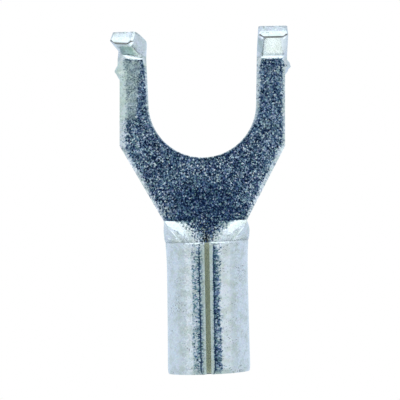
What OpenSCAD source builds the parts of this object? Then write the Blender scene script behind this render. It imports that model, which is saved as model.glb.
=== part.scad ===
// Flanged fork terminal: one sheet of tinned copper, blanked, folded and rolled.
// The origin is the stud centre on the underside. +Y runs along the part towards the tips of the
// fork, and +Z points up through the barrel's seam.

/* [Sheet] */
// Thickness of the sheet
sheet_t = 0.8; // [0.6:0.05:1]
// Radius that shearing leaves along the upper edges of the blank
edge_round = 0.16; // [0.06:0.02:0.24]

/* [Tongue] */
// Width of the tongue across its shoulders
tongue_w = 7.9; // [7.5:0.1:9]
// Diameter of the round end of the stud slot
slot_d = 5.14; // [4.3:0.02:5.4]
// Distance from the stud centre back to the shoulders
shoulder_back = 2.02; // [1.5:0.02:2.6]
// Angle between a tapered side and the centre line
taper_angle = 29.4; // [26:0.2:36]
// Angle by which the fork's outline is turned to the right against its slot and barrel
outer_lean = 1; // [0:0.05:2]
// Angle at which each side of the slot opens towards the tips
slot_draft = 1.9; // [0:0.1:3]

/* [Tine ends] */
// Inner radius of both bends
bend_r = 0.25; // [0.15:0.05:0.5]
// Distance from the stud centre to the bend of the left tine
left_bend_at = 2.12; // [2.1:0.02:2.6]
// Angle by which the left tine's end is turned up
left_bend_angle = 60; // [40:1:80]
// Straight length of the left tine beyond its bend
left_flange_len = 0.96; // [0.7:0.02:1.6]
// Sideways roll of the left tine's end, its slot side up
left_roll = 18; // [0:1:25]
// Angle by which the left tine's flange runs outwards
left_splay = 9; // [0:1:10]
// How far the left tine's slot side draws in towards its tip
left_tip_draw = 0.1; // [0:0.02:0.2]
// Distance from the stud centre to the bend of the right tine
right_bend_at = 2.06; // [2.06:0.02:2.6]
// Angle by which the right tine's end is turned up
right_bend_angle = 54; // [30:1:80]
// Straight length of the right tine beyond its bend
right_flange_len = 1.3; // [0.7:0.02:1.6]
// Angle by which each sheared tip leans back towards the underside
tip_slant = 8; // [0:1:12]

/* [Carrier stubs] */
// Distance from the stud centre to the middle of each broken-off stub
stub_at = 1.62; // [1.2:0.02:1.64]
// Radius of a stub's rounded end
stub_r = 0.46; // [0.3:0.02:0.5]
// How far a stub stands out from the tine's side
stub_out = 0.2; // [0.12:0.02:0.3]
// How much wider the tine is on its outer side, from the stub to its tip
tip_step = 0.1; // [0:0.02:0.14]

/* [Neck] */
// Width of the blank where the tongue runs into the barrel
neck_w = 3.9; // [3.4:0.05:4.2]
// How much wider the waist is on its left side
left_waist_out = 0.1; // [0:0.02:0.2]
// Length over which the sheet curls from flat to the barrel's radius
neck_len = 1; // [0.8:0.05:1.4]
// Exponent of the curl: at 1 it grows evenly, and above that it comes late
curl_power = 1.6; // [1:0.1:2.5]
// Radius of the fillet from the neck's sides to the front of the barrel's wings
wing_fillet = 0.4; // [0.3:0.05:0.5]

/* [Barrel] */
// Diameter of the wire bore
bore_d = 2.26; // [2:0.02:2.8]
// Length of the barrel
barrel_len = 6.15; // [4:0.05:8]
// How far the barrel's axis lies to the right of the stud centre
barrel_shift = 0.1; // [0:0.02:0.2]
// Height above the bore up to which the two faces of the seam are butted together
seam_floor = 0.1; // [0.04:0.02:0.3]
// Width of the seam's groove at its foot, at the front of the barrel
seam_front = 0.06; // [0.05:0.01:0.08]
// Width of the seam's groove at its foot, at the rear of the barrel
seam_rear = 0.08; // [0.05:0.01:0.08]
// Angle by which each face of the groove leans away from the other
seam_bevel = 19.5; // [5:0.5:25]

/* [Hidden] */
$fn = 96;

// Overrun of every cut past the face that it starts from
overrun = 0.3;
// How far the curled sheet lies inside the barrel's wall where the two join, and how deep it runs in
join_inset = 0.01;
join_lap = 0.2;
// How much of the groove's least width at its foot each of its halves covers
seam_lap_share = 0.8;
// Steps of the rounded edges, the bends, the flanges, the neck's length and its width
round_steps = 4;
bend_steps = 10;
flange_steps = 5;
neck_steps = 10;
curl_steps = 20;

slot_r = slot_d / 2;
bore_r = bore_d / 2;
barrel_r = bore_r + sheet_t;
// Radius of the sheet's middle surface where it is fully rolled
roll_r = bore_r + sheet_t / 2;
waist_back = shoulder_back + (tongue_w - neck_w) / 2 / tan(taper_angle);
barrel_back = waist_back + neck_len;

// X of the fork's outer side at a distance Y from the stud centre, on the side given as -1 or 1
function outer_x(side, y) = side * tongue_w / 2 + y * tan(outer_lean);

// X of the slot's side at a distance Y from the stud centre
function slot_x(side, y) = side * (slot_r + y * tan(slot_draft));

// Shoulder of the fork's outline, square to its outer sides
function shoulder(side) =
    let (y = -shoulder_back - side * tongue_w / 2 * tan(outer_lean))
    [outer_x(side, y), y];

// Waist of the fork's outline, where a tapered side ends and the neck begins
function waist(side) = [
    barrel_shift + side * neck_w / 2 - (side < 0 ? left_waist_out : 0),
    -waist_back
];

// Corner rounding as seen across an edge: [distance from the edge, height], from the side face to the top
function round_profile(across) = [
    for (i = [0:round_steps])
        let (a = 90 * i / round_steps)
        [across * (1 - cos(a)), sheet_t - edge_round * (1 - sin(a))]
];

// Columns [x, height of the top] of a strip of sheet from x0 to x1. Its two roundings measure
// round0 and round1 across, and the flat between them has a number of equal steps.
function strip_columns(x0, x1, round0, round1, steps) = concat(
    [for (p = round_profile(round0)) [x0 + p[0], p[1]]],
    [
        for (i = [1:1:steps - 1])
            [x0 + round0 + (x1 - round1 - x0 - round0) * i / steps, sheet_t]
    ],
    [
        for (i = [round_steps:-1:0])
            let (p = round_profile(round1)[i])
            [x1 - p[0], p[1]]
    ]
);

// A solid through rings of points. Each ring holds the underside's points from left to right and then
// the upper side's points from right to left.
module sheet_loft(rings) {
    n = len(rings[0]);
    columns = n / 2;
    last = len(rings) - 1;
    sides = [
        for (i = [0:last - 1])
            for (j = [0:n - 1])
                let (
                    a = i * n + j,
                    b = i * n + (j + 1) % n,
                    c = b + n,
                    d = a + n
                )
                each [[a, b, c], [a, c, d]]
    ];
    caps = [
        for (j = [0:columns - 2])
            let (
                a = j,
                b = j + 1,
                c = n - 2 - j,
                d = n - 1 - j,
                e = last * n
            )
            each [
                [a, c, b],
                [a, d, c],
                [e + a, e + b, e + c],
                [e + a, e + c, e + d]
            ]
    ];
    polyhedron(points = [for (r = rings) each r], faces = concat(sides, caps), convexity = 6);
}

// What a rounded edge loses, as an outline: x runs into the sheet and y is the height
module edge_loss() {
    polygon(concat(
        [[-overrun, sheet_t - edge_round]],
        round_profile(edge_round),
        [[edge_round, sheet_t + overrun], [-overrun, sheet_t + overrun]]
    ));
}

// The loss along a straight edge from one point to another, with the sheet on its left
module straight_loss(from, to) {
    run = to - from;
    translate([from[0], from[1], 0])
        rotate([90, 0, atan2(run[1], run[0]) + 90])
            translate([0, 0, -overrun])
                linear_extrude(norm(run) + 2 * overrun)
                    edge_loss();
}

// Flat part of the fork: shoulders, tapered sides and the round end of the slot
module tongue() {
    outline = [
        waist(-1),
        waist(1),
        shoulder(1),
        [outer_x(1, 0), 0],
        [outer_x(-1, 0), 0],
        shoulder(-1)
    ];
    difference() {
        linear_extrude(sheet_t)
            polygon(outline);
        translate([0, 0, -overrun])
            cylinder(r = slot_r, h = sheet_t + 2 * overrun);
        rotate_extrude()
            translate([slot_r, 0])
                edge_loss();
        for (i = [1, 2, 4, 5])
            straight_loss(outline[i], outline[(i + 1) % len(outline)]);
    }
}

// A point of the flat tine, after its end has been turned up along the bend at a distance bend_at
function turned_up(p, bend_at, angle) =
    let (
        past = p[1] - bend_at,
        arc = (bend_r + sheet_t / 2) * angle * PI / 180,
        a = past <= 0 ? 0 : min(angle, angle * past / arc),
        straight = past <= 0 ? past : max(0, past - arc),
        reach = bend_r + sheet_t - p[2]
    )
    [
        p[0],
        bend_at + reach * sin(a) + straight * cos(a),
        bend_r + sheet_t - reach * cos(a) + straight * sin(a)
    ];

// A point turned by an angle about the line that runs along Y through x = centre and z = height
function rolled_over(p, centre, height, angle) = [
    centre + (p[0] - centre) * cos(angle) - (p[2] - height) * sin(angle),
    p[1],
    height + (p[0] - centre) * sin(angle) + (p[2] - height) * cos(angle)
];

// One tine from the slot's round end to the tip of its flange, with the stub on its outer side
module tine(side, bend_at, angle, flange_len, roll = 0, splay = 0, draw = 0) {
    arc = (bend_r + sheet_t / 2) * angle * PI / 180;
    // Stations along the flat tine: [distance, what it adds to the outer side, share of the flange done]
    stations = concat(
        [[0, 0, 0], [stub_at, 0, 0], [stub_at + edge_round / 2, tip_step, 0]],
        [for (i = [0:bend_steps]) [bend_at + arc * i / bend_steps, tip_step, 0]],
        [for (i = [1:flange_steps]) let (f = i / flange_steps) [bend_at + arc + flange_len * f, tip_step, f]]
    );
    rings = [
        for (s = stations)
            let (
                y = s[0],
                out = side * s[2] * flange_len * tan(splay),
                slot_side = slot_x(side, y) + out + side * draw * pow(s[2], 3),
                outer_side = outer_x(side, y) + out + side * s[1],
                outer_round = edge_round / cos(outer_lean),
                columns = side > 0
                    ? strip_columns(slot_side, outer_side, edge_round, outer_round, 1)
                    : strip_columns(outer_side, slot_side, outer_round, edge_round, 1),
                count = len(columns),
                done = min(1, max(0, (y - bend_at) / arc)),
                turn = roll * done * done,
                slant = s[2] == 1 ? tan(tip_slant) : 0,
                flat = concat(
                    [for (c = columns) [c[0], y - sheet_t * slant, 0]],
                    [
                        for (i = [count - 1:-1:0])
                            let (c = columns[i])
                            [c[0], y - (sheet_t - c[1]) * slant, c[1]]
                    ]
                )
            )
            [
                for (p = flat)
                    rolled_over(
                        turned_up(p, bend_at, angle),
                        (slot_side + outer_side) / 2,
                        sheet_t,
                        turn
                    )
            ]
    ];
    sheet_loft(rings);
    translate([outer_x(side, stub_at) + side * (stub_out - stub_r), stub_at, 0])
        cylinder(r = stub_r, h = sheet_t);
}

// Width of the neck's edge rounding. At the tongue it is what the slanting side leaves there.
function neck_round(side, curl_done) =
    let (run = shoulder(side) - waist(side))
    curl_done > 0 ? edge_round : edge_round * norm(run) / run[1];

// How far the neck's side stands out beyond half the neck's width, at a distance Y back from the stud centre
function neck_out(side, back) =
    let (
        waist_share = max(0, 1 - (back - waist_back) / (neck_len - wing_fillet)),
        into = min(wing_fillet, max(0, back - barrel_back + wing_fillet))
    )
    (side < 0 ? left_waist_out * waist_share * waist_share : 0)
        + wing_fillet - sqrt(wing_fillet * wing_fillet - into * into);

// The neck, where the sheet curls from the flat tongue into the barrel
module neck() {
    // Stations from inside the barrel's wall to the tongue, as [distance back, share of the curl done]
    stations = concat(
        [[barrel_back + join_lap, 1]],
        [for (i = [neck_steps:-1:0]) [waist_back + neck_len * i / neck_steps, i / neck_steps]]
    );
    rings = [
        for (s = stations)
            let (
                curl = pow(s[1], curl_power) / roll_r,
                inset = join_inset * s[1],
                columns = strip_columns(
                    -neck_w / 2 - neck_out(-1, s[0]),
                    neck_w / 2 + neck_out(1, s[0]),
                    neck_round(-1, s[1]),
                    neck_round(1, s[1]),
                    curl_steps
                ),
                count = len(columns),
                flat = concat(
                    [for (c = columns) [c[0], inset]],
                    [for (i = [count - 1:-1:0]) [columns[i][0], columns[i][1] - inset]]
                )
            )
            [for (p = flat) curled(p[0], p[1], -s[0], curl)]
    ];
    translate([barrel_shift, 0, 0])
        sheet_loft(rings);
}

// A point of the flat sheet at x and height z, after the sheet has been curled up round the Y direction
function curled(x, z, y, curl) =
    curl == 0
        ? [x, y, z]
        : let (
            reach = 1 / curl + sheet_t / 2 - z,
            a = x * curl * 180 / PI
        )
        [reach * sin(a), y, 1 / curl + sheet_t / 2 - reach * cos(a)];

// The rolled barrel, with its rounded rear mouth and the butt seam along its top
module barrel() {
    translate([barrel_shift, -barrel_back, barrel_r])
        rotate([90, 0, 0])
            difference() {
                cylinder(r = barrel_r, h = barrel_len);
                translate([0, 0, -overrun])
                    cylinder(r = bore_r, h = barrel_len + 2 * overrun);
                translate([0, 0, barrel_len - sheet_t])
                    rotate_extrude()
                        translate([bore_r, 0])
                            edge_loss();
                seam();
            }
}

// The groove between the two faces of the seam, above the foot where they meet. Each half of the groove
// turns with its own face and laps over the middle.
module seam() {
    widen = atan2((seam_rear - seam_front) / 2, barrel_len);
    bevel = (sheet_t - seam_floor + overrun) * tan(seam_bevel);
    lap = seam_lap_share * min(seam_front, seam_rear);
    for (side = [-1, 1])
        translate([side * seam_front / 2, 0, 0])
            rotate([0, side * widen, 0])
                translate([0, bore_r + seam_floor, -overrun])
                    linear_extrude(barrel_len + 2 * overrun)
                        polygon([
                            [-side * lap, 0],
                            [0, 0],
                            [side * bevel, sheet_t - seam_floor + overrun],
                            [-side * lap, sheet_t - seam_floor + overrun]
                        ]);
}

// The whole terminal
module terminal() {
    color([0.78, 0.8, 0.8]) {
        tongue();
        tine(
            -1,
            left_bend_at,
            left_bend_angle,
            left_flange_len,
            left_roll,
            left_splay,
            left_tip_draw
        );
        tine(1, right_bend_at, right_bend_angle, right_flange_len);
        neck();
        barrel();
    }
}

terminal();
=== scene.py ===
"""Looks of a flanged fork terminal: one sheet of tinned copper, blanked, folded and rolled."""

import logging
import math
from dataclasses import dataclass, field
from enum import Enum
from typing import Any

import bmesh
import bpy
import numpy as np
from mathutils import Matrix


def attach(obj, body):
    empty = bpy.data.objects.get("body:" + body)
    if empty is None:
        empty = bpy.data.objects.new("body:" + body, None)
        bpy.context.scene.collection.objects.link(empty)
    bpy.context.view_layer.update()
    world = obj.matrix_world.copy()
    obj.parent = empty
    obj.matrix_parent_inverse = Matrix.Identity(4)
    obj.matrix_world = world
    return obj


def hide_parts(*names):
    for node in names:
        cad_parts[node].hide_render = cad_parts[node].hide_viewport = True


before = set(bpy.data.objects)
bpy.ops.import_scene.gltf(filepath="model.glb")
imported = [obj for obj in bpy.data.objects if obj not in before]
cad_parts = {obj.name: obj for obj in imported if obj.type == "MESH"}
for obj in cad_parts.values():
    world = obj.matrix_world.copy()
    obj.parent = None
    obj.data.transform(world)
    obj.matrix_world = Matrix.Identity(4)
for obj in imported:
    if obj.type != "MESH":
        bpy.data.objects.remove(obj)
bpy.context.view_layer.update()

MM = 0.001
LOG = logging.getLogger("terminal")

Points = np.ndarray
Colour = tuple[float, float, float, float]
WHITE: Colour = (1, 1, 1, 1)
SHARP_FROM = math.radians(38)


class Side(Enum):
    """A side of the fork, as the sign of its X."""

    LEFT = -1
    RIGHT = 1


@dataclass(frozen=True)
class TineEnd:
    """The turned-up end of one tine. Lengths in millimetres, angles in degrees."""

    bend_at: float
    angle: float
    flange_len: float
    stub_at: float
    stub_out: float
    roll: float = 0.0
    splay: float = 0.0
    draw: float = 0.0


@dataclass(frozen=True)
class Sizes:
    """Sizes of the terminal as in its construction. Lengths in millimetres, angles in degrees."""

    # Fork
    sheet_t: float = 0.8
    tongue_w: float = 7.9
    slot_r: float = 2.57
    slot_draft: float = 1.9
    outer_lean: float = 1.0
    shoulder_back: float = 2.02
    taper_angle: float = 29.4

    # Tine ends, with the stubs where the terminal was broken off its strip
    bend_r: float = 0.25
    stub_r: float = 0.46
    stub_ragged_share: float = 0.05
    stub_teeth: float = 31.0
    tip_step: float = 0.1
    tip_step_before: float = 0.12
    tip_step_run: float = 0.16
    tip_corner: float = 0.1
    tip_slant: float = 8.0
    tip_run: float = 0.4
    tine_ends: dict[Side, TineEnd] = field(
        default_factory=lambda: {
            Side.LEFT: TineEnd(
                bend_at=2.12,
                angle=60,
                flange_len=0.96,
                stub_at=1.56,
                stub_out=0.17,
                roll=18,
                splay=9,
                draw=0.1,
            ),
            Side.RIGHT: TineEnd(
                bend_at=2.06, angle=54, flange_len=1.3, stub_at=1.68, stub_out=0.2
            ),
        }
    )

    # Neck
    neck_w: float = 3.9
    neck_len: float = 1.0
    left_waist_out: float = 0.1
    curl_power: float = 1.25
    wing_fillet: float = 0.4

    # Barrel
    barrel_len: float = 6.15
    barrel_shift: float = 0.1
    barrel_skew: float = 1.3
    roll_r: float = 1.505
    mouth_flare: float = 0.07
    mouth_run: float = 0.45
    rear_growth: float = 0.045

    # Seam
    seam_w: float = 0.245
    seam_turn: float = 0.4
    seam_floor: float = 0.42
    seam_foot_w: float = 0.215

    @property
    def waist_back(self) -> float:
        """Distance from the stud centre back to the waist."""
        taper = math.tan(math.radians(self.taper_angle))
        return self.shoulder_back + (self.tongue_w - self.neck_w) / 2 / taper

    @property
    def barrel_back(self) -> float:
        """Distance from the stud centre back to the front of the barrel."""
        return self.waist_back + self.neck_len

    @property
    def rear_back(self) -> float:
        """Distance from the stud centre back to the rear of the barrel."""
        return self.barrel_back + self.barrel_len

    @property
    def foot_z(self) -> float:
        """Height in the sheet of the foot of the seam."""
        return self.sheet_t - self.seam_floor

    def bend_arc(self, side: Side) -> float:
        """Length of a tine's bend along the middle of the sheet."""
        return (self.bend_r + self.sheet_t / 2) * math.radians(self.tine_ends[side].angle)

    def tip_at(self, side: Side) -> float:
        """Distance along the flat sheet from the stud centre to a tine's tip."""
        end = self.tine_ends[side]
        return end.bend_at + self.bend_arc(side) + end.flange_len


def smooth(share: Points) -> Points:
    """A share from 0 to 1, eased at both ends."""
    s = np.clip(share, 0, 1)
    return s * s * (3 - 2 * s)


@dataclass(frozen=True)
class Roll:
    """How far shearing has drawn an edge down.

    The slope has a width and a depth at the edge. Its steepness grows towards the edge with the
    power less one, so that a power of 1 makes a plain bevel.
    """

    width: float
    depth: float
    power: float = 2.2

    def towards(self, other: "Roll", share: float) -> "Roll":
        """A roll between this one and another.

        Args:
            other: The other roll.
            share: 0 for this roll, 1 for the other.

        Returns:
            The roll between them.
        """
        return Roll(
            self.width + (other.width - self.width) * share,
            self.depth + (other.depth - self.depth) * share,
            self.power + (other.power - self.power) * share,
        )


@dataclass(frozen=True)
class Blank:
    """The flat blank, before it is formed. X and Y lie in the sheet, and Z is the height in it.

    Each Roll is the edge that the die has left along one part of the outline.
    """

    sizes: Sizes = Sizes()
    left_side: Roll = Roll(0.32, 0.095, 1.2)
    right_side: Roll = Roll(0.2, 0.035, 1.7)
    left_slot: Roll = Roll(0.18, 0.035, 1.8)
    right_slot: Roll = Roll(0.22, 0.055, 1.3)
    slot_end: Roll = Roll(0.12, 0.025)
    taper: Roll = Roll(0.24, 0.036, 1.6)
    flange: Roll = Roll(0.3, 0.2, 2.0)
    neck_side: Roll = Roll(0.06, 0.05)
    tip: Roll = Roll(0.05, 0.05, 1.3)
    plain: Roll = Roll(0.03, 0)
    cut: Roll = Roll(0.05, 0.04)
    mouth: Roll = Roll(0.2, 0.16)
    burr: Roll = Roll(0.03, 0.02)
    left_lip: Roll = Roll(0.2, 0.135, 1.15)
    right_lip: Roll = Roll(0.142, 0.1, 1.25)
    front_rim: Roll = Roll(0.09, 0.085, 1.1)
    rear_rim: Roll = Roll(0.3, 0.04)
    shear_lean: float = 0.02
    burnish_share: float = 0.45

    def outer_x(self, side: Side, y: Points) -> Points:
        """X of a tine's outer side, with the wider end beyond its stub.

        Args:
            side: The tine's side.
            y: Distances from the stud centre, forwards.

        Returns:
            The X of the outer side at each distance.
        """
        s, end = self.sizes, self.sizes.tine_ends[side]
        y = np.asarray(y, float)
        plain = side.value * s.tongue_w / 2 + y * math.tan(math.radians(s.outer_lean))
        step = s.tip_step * smooth((y - end.stub_at + s.tip_step_before) / s.tip_step_run)
        return plain + side.value * (step - self._corner(side, y)) + self._flange_out(side, y)

    def stub(self, side: Side, y: Points) -> Points:
        """How far the broken-off stub stands out from a tine's side.

        Args:
            side: The tine's side.
            y: Distances from the stud centre, forwards.

        Returns:
            The distance out at each place, 0 clear of the stub.
        """
        s, end = self.sizes, self.sizes.tine_ends[side]
        off = np.asarray(y, float) - end.stub_at
        arch = np.sqrt(np.clip(s.stub_r**2 - off**2, 0, None)) - s.stub_r + end.stub_out
        ragged = 1 + s.stub_ragged_share * np.sin(s.stub_teeth * off + side.value)
        return np.where(np.abs(off) < s.stub_r, np.clip(arch, 0, None) * ragged, 0)

    def slot_x(self, side: Side, y: Points) -> Points:
        """X of the slot's side.

        Args:
            side: The tine's side.
            y: Distances from the stud centre, forwards.

        Returns:
            The X of the slot's side at each distance.
        """
        s, end = self.sizes, self.sizes.tine_ends[side]
        y = np.asarray(y, float)
        plain = side.value * (s.slot_r + y * math.tan(math.radians(s.slot_draft)))
        drawn = side.value * (end.draw * self.flange_share(side, y) ** 2 + self._corner(side, y))
        return plain + drawn + self._flange_out(side, y)

    def _corner(self, side: Side, y: Points) -> Points:
        """How far the rounded corners of a tip draw its sides in.

        Args:
            side: The tine's side.
            y: Distances from the stud centre, forwards.

        Returns:
            The distance in at each place.
        """
        r = self.sizes.tip_corner
        into = np.clip(r - (self.sizes.tip_at(side) - np.asarray(y, float)), 0, r)
        return r - np.sqrt(r**2 - into**2)

    def flange_share(self, side: Side, y: Points) -> Points:
        """Share of the flange's straight length that lies before each place.

        Args:
            side: The tine's side.
            y: Distances from the stud centre along the flat sheet.

        Returns:
            The share at each place, from 0 at the bend to 1 at the tip.
        """
        s, end = self.sizes, self.sizes.tine_ends[side]
        start = end.bend_at + s.bend_arc(side)
        return np.clip((np.asarray(y, float) - start) / end.flange_len, 0, 1)

    def _flange_out(self, side: Side, y: Points) -> Points:
        """How far the splayed flange has moved along X.

        Args:
            side: The tine's side.
            y: Distances from the stud centre along the flat sheet.

        Returns:
            The move at each place.
        """
        end = self.sizes.tine_ends[side]
        run = end.flange_len * math.tan(math.radians(end.splay))
        return side.value * run * self.flange_share(side, y)

    def shoulder(self, side: Side) -> Points:
        """The corner between a tine's outer side and the tapered side.

        Args:
            side: The tine's side.

        Returns:
            The corner's X and Y.
        """
        s = self.sizes
        lean = math.tan(math.radians(s.outer_lean))
        y = -s.shoulder_back - side.value * s.tongue_w / 2 * lean
        return np.array([side.value * s.tongue_w / 2 + y * lean, y])

    def neck_x(self, side: Side, y: Points) -> Points:
        """X of the neck's side, with the fillet to the barrel's wings.

        Args:
            side: The side of the neck.
            y: Y of the points, from the waist back to the barrel's front.

        Returns:
            The X of the side at each Y.
        """
        s = self.sizes
        back = -np.asarray(y, float)
        waist_share = np.clip(1 - (back - s.waist_back) / (s.neck_len - s.wing_fillet), 0, 1)
        into = np.clip(back - s.barrel_back + s.wing_fillet, 0, s.wing_fillet)
        out = s.wing_fillet - np.sqrt(s.wing_fillet**2 - into**2)
        if side is Side.LEFT:
            out = out + s.left_waist_out * waist_share**2
        return s.barrel_shift + side.value * (s.neck_w / 2 + out)

    def roll_r(self, y: Points) -> Points:
        """Radius of the rolled sheet's middle surface along the barrel.

        Args:
            y: Y of the points.

        Returns:
            The radius at each Y, with the flared mouth and the wider rear.
        """
        s = self.sizes
        back = np.clip(-np.asarray(y, float) - s.barrel_back, 0, s.barrel_len)
        flare = s.mouth_flare * np.exp(-back / s.mouth_run)
        return s.roll_r + flare + s.rear_growth * (back / s.barrel_len) ** 2

    def seam_x(self, side: Side, y: Points, z: float) -> Points:
        """X of the blank's side along the barrel, which becomes a face of the seam.

        Args:
            side: The side of the blank.
            y: Y of the points.
            z: Height in the sheet.

        Returns:
            The X of the side at each Y.
        """
        s = self.sizes
        roll = self.roll_r(y)
        foot = s.seam_foot_w / 2
        half = foot + (s.seam_w / 2 - foot) * max(0, s.foot_z - z) / s.foot_z
        angle = math.pi - half / (roll + s.sheet_t / 2 - z)
        return s.barrel_shift + (side.value * angle + math.radians(s.seam_turn)) * roll


@dataclass(frozen=True)
class Flat:
    """A flat strip that the closing die has left on the barrel beside the seam.

    Its end and the tilt of its plane are angles about the barrel's axis, from the seam. It widens
    by its growth for each millimetre back.
    """

    side: Side
    end: float
    tilt: float
    growth: float = 0.0

    def reach(self, off_seam: Points, back: Points) -> Points:
        """Distance of the strip's plane from the axis, as a share of the barrel's radius.

        Args:
            off_seam: Angles from the seam, in radians.
            back: Distances behind the barrel's front, along which the strip widens.

        Returns:
            The share at each angle.
        """
        ends = np.cos(np.radians(self.end + self.growth * back - self.tilt))
        return ends / np.cos(off_seam - np.radians(self.tilt))


@dataclass(frozen=True)
class Wave:
    """A slight unevenness along the barrel, in degrees about its axis."""

    height: float
    pace: float
    start: float = 0.0

    def at(self, y: Points) -> Points:
        """Its height at each Y."""
        return self.height * np.sin(self.pace * y + self.start)


@dataclass
class Forming:
    """Bends and rolls points of the flat blank into the terminal's form."""

    blank: Blank
    flats: tuple = (
        Flat(Side.LEFT, 20, 12.6),
        Flat(Side.LEFT, 22.1, 14.5),
        Flat(Side.LEFT, 23.1, 15.8),
        Flat(Side.LEFT, 31.6, 26.8),
        Flat(Side.RIGHT, 12.5, 10.3, 0.75),
        Flat(Side.RIGHT, 14.4, 12.6, 0.8),
        Flat(Side.RIGHT, 33.5, 27),
    )
    flats_within: float = 50.0
    waves: tuple = (Wave(0.5, 1.9), Wave(0.3, 4.7, 1))
    least_share: float = 1e-6
    crease_at: float = -0.78
    crease_slant: float = 0.22
    crease_depth: float = 0.1
    crease_run: float = 0.2
    pressed_share: float = 0.56
    pressed_growth: float = 0.075
    pressed_from: float = -0.6
    pressed_to: float = 2.1
    straight_to: float = 2.0

    def form(self, flat: Points) -> Points:
        """Formed places of points of the blank.

        Args:
            flat: Points [x, y, z] of the blank, in millimetres.

        Returns:
            The same points after forming, in millimetres.
        """
        s = self.blank.sizes
        out = self._pressed(flat)
        for side in Side:
            here = (flat[:, 1] > 0) & (flat[:, 0] * side.value > 0)
            out[here] = self._tine(out[here], flat[here], side)
        rear = flat[:, 1] < -s.waist_back
        out[rear] = self._curled(flat[rear])
        return out

    def _pressed(self, flat: Points) -> Points:
        """Presses the left tine's outer part thinner beyond a crease.

        Args:
            flat: Points of the blank.

        Returns:
            The points, lower where the sheet is pressed.
        """
        out = flat.copy()
        x, y = flat[:, 0], flat[:, 1]
        straight = np.clip(y, 0, self.straight_to)
        outer = self.blank.outer_x(Side.LEFT, straight)
        slot = self.blank.slot_x(Side.LEFT, straight)
        grown = self.pressed_growth * np.clip(y, self.pressed_from, self.pressed_to)
        share = np.clip((x - outer) / ((self.pressed_share + grown) * (slot - outer)), 0, 1)
        past = y - self.crease_at - self.crease_slant * (x - outer)
        onset = smooth(past / self.crease_run)
        left = (x < 0) & (past > 0)
        height = flat[:, 2] / self.blank.sizes.sheet_t
        out[:, 2] -= np.where(left, self.crease_depth * onset * (1 - share) * height, 0)
        return out

    def _tine(self, lifted: Points, flat: Points, side: Side) -> Points:
        """Turns up the end of a tine and rolls it over sideways.

        Args:
            lifted: The points so far.
            flat: The same points in the blank.
            side: The tine's side.

        Returns:
            The points after the bend.
        """
        s, end = self.blank.sizes, self.blank.sizes.tine_ends[side]
        arc = s.bend_arc(side)
        past = flat[:, 1] - end.bend_at
        angle = np.radians(end.angle) * np.clip(past / arc, 0, 1)
        straight = np.where(past > 0, np.clip(past - arc, 0, None), past)
        reach = s.bend_r + s.sheet_t - lifted[:, 2]
        y = end.bend_at + reach * np.sin(angle) + straight * np.cos(angle)
        z = s.bend_r + s.sheet_t - reach * np.cos(angle) + straight * np.sin(angle)
        turn = np.radians(end.roll) * np.clip(past / arc, 0, 1) ** 2
        slot, outer = self.blank.slot_x(side, flat[:, 1]), self.blank.outer_x(side, flat[:, 1])
        centre = (slot + outer) / 2
        off, up = lifted[:, 0] - centre, z - s.sheet_t
        x = centre + off * np.cos(turn) - up * np.sin(turn)
        z = s.sheet_t + off * np.sin(turn) + up * np.cos(turn)
        return np.stack([x, y, z], 1)

    def _curled(self, flat: Points) -> Points:
        """Curls the neck and rolls the barrel.

        Args:
            flat: Points of the blank behind the waist.

        Returns:
            The points after the curl.
        """
        s = self.blank.sizes
        x, y, z = flat[:, 0] - s.barrel_shift, flat[:, 1], flat[:, 2]
        share = np.clip((-y - s.waist_back) / s.neck_len, self.least_share, 1)
        curl = share**s.curl_power / self.blank.roll_r(y)
        angle = x * curl
        outer = 1 / curl + s.sheet_t / 2
        reach = outer - z + self._flattened(y, angle) * (share >= 1) * outer
        across = reach * np.sin(angle)
        skew = math.tan(math.radians(s.barrel_skew)) * share
        up = outer - reach * np.cos(angle)
        return np.stack([s.barrel_shift + across, y + skew * across, up], 1)

    def _flattened(self, y: Points, angle: Points) -> Points:
        """How much nearer to the axis the flat strips beside the seam lie.

        Args:
            y: Y of the points.
            angle: Their angles about the barrel's axis, from the bottom.

        Returns:
            The change of their distance from the axis, as a share of the barrel's radius.
        """
        wander = np.radians(sum(wave.at(y) for wave in self.waves))
        turn = np.radians(self.blank.sizes.seam_turn) * np.sign(angle)
        off_seam = np.pi - np.abs(angle) + wander + turn
        reach = np.ones_like(angle)
        back = -y - self.blank.sizes.barrel_back
        for flat in self.flats:
            here = (angle * flat.side.value > 0) & (off_seam < np.radians(self.flats_within))
            reach[here] = np.minimum(reach[here], flat.reach(off_seam[here], back[here]))
        return reach - 1


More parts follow.
